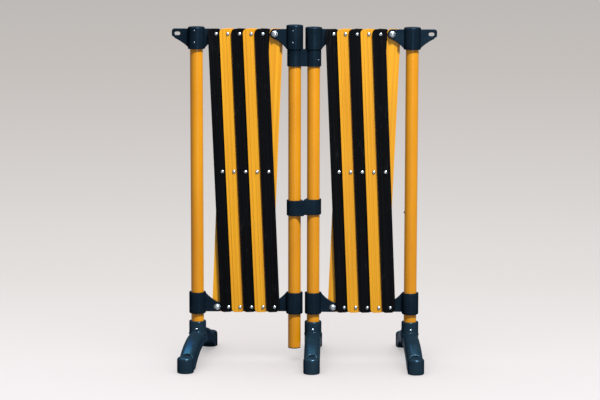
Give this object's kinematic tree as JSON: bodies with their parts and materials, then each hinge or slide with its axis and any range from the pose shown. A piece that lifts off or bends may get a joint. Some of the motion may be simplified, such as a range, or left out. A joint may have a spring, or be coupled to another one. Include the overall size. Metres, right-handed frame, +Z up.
{
  "type": "traffic barrier",
  "caption": "Expanding lattice barrier in two folding scissor sections between round posts on swivelling arched feet, with slotted end tabs.",
  "frame": {"origin": "on the floor, midway between the two inner posts", "axes": "+X runs to the right along the barrier, -Y faces the viewer and +Z is up"},
  "size_m": [0.782, 0.43, 1.006],
  "materials": {
    "post_paint": "smooth yellow-orange powder coat on round steel tube",
    "slat_yellow": "satin yellow plastic extrusion",
    "slat_black": "satin black plastic extrusion",
    "moulding": "fine-grained dark slate moulded plastic",
    "zinc": "bright zinc plate",
    "rubber": "matte black rubber"
  },
  "bodies": {
    "inner_post_right": {"tube_right_inner": "post_paint", "top_bracket_right_inner": "moulding", "post_screws_right_inner": "zinc", "coupler": "moulding", "middle_clip": "moulding"},
    "inner_post_left": {"tube_left_inner": "post_paint", "top_bracket_left_inner": "moulding", "post_screws_left_inner": "zinc", "tube_plug": "rubber"},
    "outer_post_left": {"tube_left_outer": "post_paint", "top_bracket_left_outer": "moulding", "post_screws_left_outer": "zinc"},
    "outer_post_right": {"tube_right_outer": "post_paint", "top_bracket_right_outer": "moulding", "post_screws_right_outer": "zinc"},
    "collar_left_outer": {"collar_left_outer": "moulding", "collar_bolt_left": "zinc"},
    "collar_right_inner": {"collar_right_inner": "moulding", "collar_bolt_right": "zinc"},
    "collar_left_inner": {"collar_left_inner": "moulding"},
    "collar_right_outer": {"collar_right_outer": "moulding"},
    "foot_left": {"foot_left": "moulding", "foot_pads_left": "rubber", "foot_screw_left": "zinc"},
    "foot_middle": {"foot_middle": "moulding", "foot_pads_middle": "rubber", "foot_screw_middle": "zinc"},
    "foot_right": {"foot_right": "moulding", "foot_pads_right": "rubber", "foot_screw_right": "zinc"},
    "left_front_1": {"left_front_slat_1": "slat_black", "left_rivets_1": "zinc"},
    "left_back_1": {"left_back_slat_1": "slat_yellow"},
    "left_front_2": {"left_front_slat_2": "slat_yellow", "left_rivets_2": "zinc"},
    "left_back_2": {"left_back_slat_2": "slat_black"},
    "left_front_3": {"left_front_slat_3": "slat_black", "left_rivets_3": "zinc"},
    "left_back_3": {"left_back_slat_3": "slat_yellow"},
    "left_front_4": {"left_front_slat_4": "slat_yellow", "left_rivets_4": "zinc"},
    "left_back_4": {"left_back_slat_4": "slat_black"},
    "left_front_5": {"left_front_slat_5": "slat_black", "left_rivets_5": "zinc"},
    "left_back_5": {"left_back_slat_5": "slat_yellow"},
    "right_front_1": {"right_front_slat_1": "slat_black", "right_rivets_1": "zinc"},
    "right_back_1": {"right_back_slat_1": "slat_yellow"},
    "right_front_2": {"right_front_slat_2": "slat_yellow", "right_rivets_2": "zinc"},
    "right_back_2": {"right_back_slat_2": "slat_black"},
    "right_front_3": {"right_front_slat_3": "slat_black", "right_rivets_3": "zinc"},
    "right_back_3": {"right_back_slat_3": "slat_yellow"},
    "right_front_4": {"right_front_slat_4": "slat_yellow", "right_rivets_4": "zinc"},
    "right_back_4": {"right_back_slat_4": "slat_black"},
    "right_front_5": {"right_front_slat_5": "slat_black", "right_rivets_5": "zinc"},
    "right_back_5": {"right_back_slat_5": "slat_yellow"}
  },
  "joints": [
    {"name": "right_section_opens", "type": "hinge", "parent": "inner_post_right", "child": "right_front_1", "pos_m": [0.087, 0, 0.98], "axis": [0, -1, 0], "range_deg": [0, 41]},
    {"name": "right_cross_1", "type": "hinge", "parent": "right_front_1", "child": "right_back_1", "pos_m": [0.10425, 0, 0.57036], "axis": [0, -1, 0], "range_deg": [-82, 0]},
    {"name": "right_low_1", "type": "hinge", "parent": "right_front_1", "child": "right_back_2", "pos_m": [0.1215, 0, 0.16073], "axis": [0, -1, 0], "range_deg": [-82, 0]},
    {"name": "right_cross_2", "type": "hinge", "parent": "right_back_2", "child": "right_front_2", "pos_m": [0.13875, 0, 0.57036], "axis": [0, -1, 0], "range_deg": [0, 82]},
    {"name": "right_top_2", "type": "hinge", "parent": "right_back_2", "child": "right_front_3", "pos_m": [0.156, 0, 0.98], "axis": [0, -1, 0], "range_deg": [0, 82]},
    {"name": "right_cross_3", "type": "hinge", "parent": "right_front_3", "child": "right_back_3", "pos_m": [0.17325, 0, 0.57036], "axis": [0, -1, 0], "range_deg": [-82, 0]},
    {"name": "right_low_3", "type": "hinge", "parent": "right_front_3", "child": "right_back_4", "pos_m": [0.1905, 0, 0.16073], "axis": [0, -1, 0], "range_deg": [-82, 0]},
    {"name": "right_cross_4", "type": "hinge", "parent": "right_back_4", "child": "right_front_4", "pos_m": [0.20775, 0, 0.57036], "axis": [0, -1, 0], "range_deg": [0, 82]},
    {"name": "right_top_4", "type": "hinge", "parent": "right_back_4", "child": "right_front_5", "pos_m": [0.225, 0, 0.98], "axis": [0, -1, 0], "range_deg": [0, 82]},
    {"name": "right_cross_5", "type": "hinge", "parent": "right_front_5", "child": "right_back_5", "pos_m": [0.24225, 0, 0.57036], "axis": [0, -1, 0], "range_deg": [-82, 0]},
    {"name": "right_outer_post_hinge", "type": "hinge", "parent": "right_back_5", "child": "outer_post_right", "pos_m": [0.2595, 0, 0.98], "axis": [0, -1, 0], "range_deg": [0, 41]},
    {"name": "right_inner_collar_hinge", "type": "hinge", "parent": "right_back_1", "child": "collar_right_inner", "pos_m": [0.087, 0, 0.16073], "axis": [0, -1, 0], "range_deg": [0, 41]},
    {"name": "right_outer_collar_hinge", "type": "hinge", "parent": "right_front_5", "child": "collar_right_outer", "pos_m": [0.2595, 0, 0.16073], "axis": [0, -1, 0], "range_deg": [-41, 0]},
    {"name": "left_section_opens", "type": "hinge", "parent": "inner_post_left", "child": "left_back_5", "pos_m": [-0.087, 0, 0.98], "axis": [0, -1, 0], "range_deg": [-41, 0]},
    {"name": "left_cross_5", "type": "hinge", "parent": "left_back_5", "child": "left_front_5", "pos_m": [-0.10425, 0, 0.57036], "axis": [0, -1, 0], "range_deg": [0, 82]},
    {"name": "left_low_4", "type": "hinge", "parent": "left_back_5", "child": "left_front_4", "pos_m": [-0.1215, 0, 0.16073], "axis": [0, -1, 0], "range_deg": [0, 82]},
    {"name": "left_cross_4", "type": "hinge", "parent": "left_front_4", "child": "left_back_4", "pos_m": [-0.13875, 0, 0.57036], "axis": [0, -1, 0], "range_deg": [-82, 0]},
    {"name": "left_top_3", "type": "hinge", "parent": "left_front_4", "child": "left_back_3", "pos_m": [-0.156, 0, 0.98], "axis": [0, -1, 0], "range_deg": [-82, 0]},
    {"name": "left_cross_3", "type": "hinge", "parent": "left_back_3", "child": "left_front_3", "pos_m": [-0.17325, 0, 0.57036], "axis": [0, -1, 0], "range_deg": [0, 82]},
    {"name": "left_low_2", "type": "hinge", "parent": "left_back_3", "child": "left_front_2", "pos_m": [-0.1905, 0, 0.16073], "axis": [0, -1, 0], "range_deg": [0, 82]},
    {"name": "left_cross_2", "type": "hinge", "parent": "left_front_2", "child": "left_back_2", "pos_m": [-0.20775, 0, 0.57036], "axis": [0, -1, 0], "range_deg": [-82, 0]},
    {"name": "left_top_1", "type": "hinge", "parent": "left_front_2", "child": "left_back_1", "pos_m": [-0.225, 0, 0.98], "axis": [0, -1, 0], "range_deg": [-82, 0]},
    {"name": "left_cross_1", "type": "hinge", "parent": "left_back_1", "child": "left_front_1", "pos_m": [-0.24225, 0, 0.57036], "axis": [0, -1, 0], "range_deg": [0, 82]},
    {"name": "left_outer_post_hinge", "type": "hinge", "parent": "left_front_1", "child": "outer_post_left", "pos_m": [-0.2595, 0, 0.98], "axis": [0, -1, 0], "range_deg": [-41, 0]},
    {"name": "left_outer_collar_hinge", "type": "hinge", "parent": "left_back_1", "child": "collar_left_outer", "pos_m": [-0.2595, 0, 0.16073], "axis": [0, -1, 0], "range_deg": [0, 41]},
    {"name": "left_inner_collar_hinge", "type": "hinge", "parent": "left_front_5", "child": "collar_left_inner", "pos_m": [-0.087, 0, 0.16073], "axis": [0, -1, 0], "range_deg": [-41, 0]},
    {"name": "left_section_swings", "type": "hinge", "parent": "inner_post_right", "child": "inner_post_left", "pos_m": [-0.028, 0, 0.5], "axis": [0, 0, 1], "range_deg": [-90, 90]},
    {"name": "foot_left_swivels", "type": "hinge", "parent": "outer_post_left", "child": "foot_left", "pos_m": [-0.3185, 0, 0.086], "axis": [0, 0, 1], "range_deg": [-82.5, 97.5]},
    {"name": "foot_middle_swivels", "type": "hinge", "parent": "inner_post_right", "child": "foot_middle", "pos_m": [0.028, 0, 0.086], "axis": [0, 0, 1], "range_deg": [-34.5, 35.5]},
    {"name": "foot_right_swivels", "type": "hinge", "parent": "outer_post_right", "child": "foot_right", "pos_m": [0.3185, 0, 0.086], "axis": [0, 0, 1], "range_deg": [-94, 86]}
  ],
  "couplings": [
    {"joint": "right_cross_1", "follows": "right_section_opens", "ratio": -2},
    {"joint": "right_low_1", "follows": "right_section_opens", "ratio": -2},
    {"joint": "right_cross_2", "follows": "right_section_opens", "ratio": 2},
    {"joint": "right_top_2", "follows": "right_section_opens", "ratio": 2},
    {"joint": "right_cross_3", "follows": "right_section_opens", "ratio": -2},
    {"joint": "right_low_3", "follows": "right_section_opens", "ratio": -2},
    {"joint": "right_cross_4", "follows": "right_section_opens", "ratio": 2},
    {"joint": "right_top_4", "follows": "right_section_opens", "ratio": 2},
    {"joint": "right_cross_5", "follows": "right_section_opens", "ratio": -2},
    {"joint": "right_outer_post_hinge", "follows": "right_section_opens", "ratio": 1},
    {"joint": "right_inner_collar_hinge", "follows": "right_section_opens", "ratio": 1},
    {"joint": "right_outer_collar_hinge", "follows": "right_section_opens", "ratio": -1},
    {"joint": "left_cross_5", "follows": "left_section_opens", "ratio": -2},
    {"joint": "left_low_4", "follows": "left_section_opens", "ratio": -2},
    {"joint": "left_cross_4", "follows": "left_section_opens", "ratio": 2},
    {"joint": "left_top_3", "follows": "left_section_opens", "ratio": 2},
    {"joint": "left_cross_3", "follows": "left_section_opens", "ratio": -2},
    {"joint": "left_low_2", "follows": "left_section_opens", "ratio": -2},
    {"joint": "left_cross_2", "follows": "left_section_opens", "ratio": 2},
    {"joint": "left_top_1", "follows": "left_section_opens", "ratio": 2},
    {"joint": "left_cross_1", "follows": "left_section_opens", "ratio": -2},
    {"joint": "left_outer_post_hinge", "follows": "left_section_opens", "ratio": 1},
    {"joint": "left_outer_collar_hinge", "follows": "left_section_opens", "ratio": -1},
    {"joint": "left_inner_collar_hinge", "follows": "left_section_opens", "ratio": 1}
  ]
}
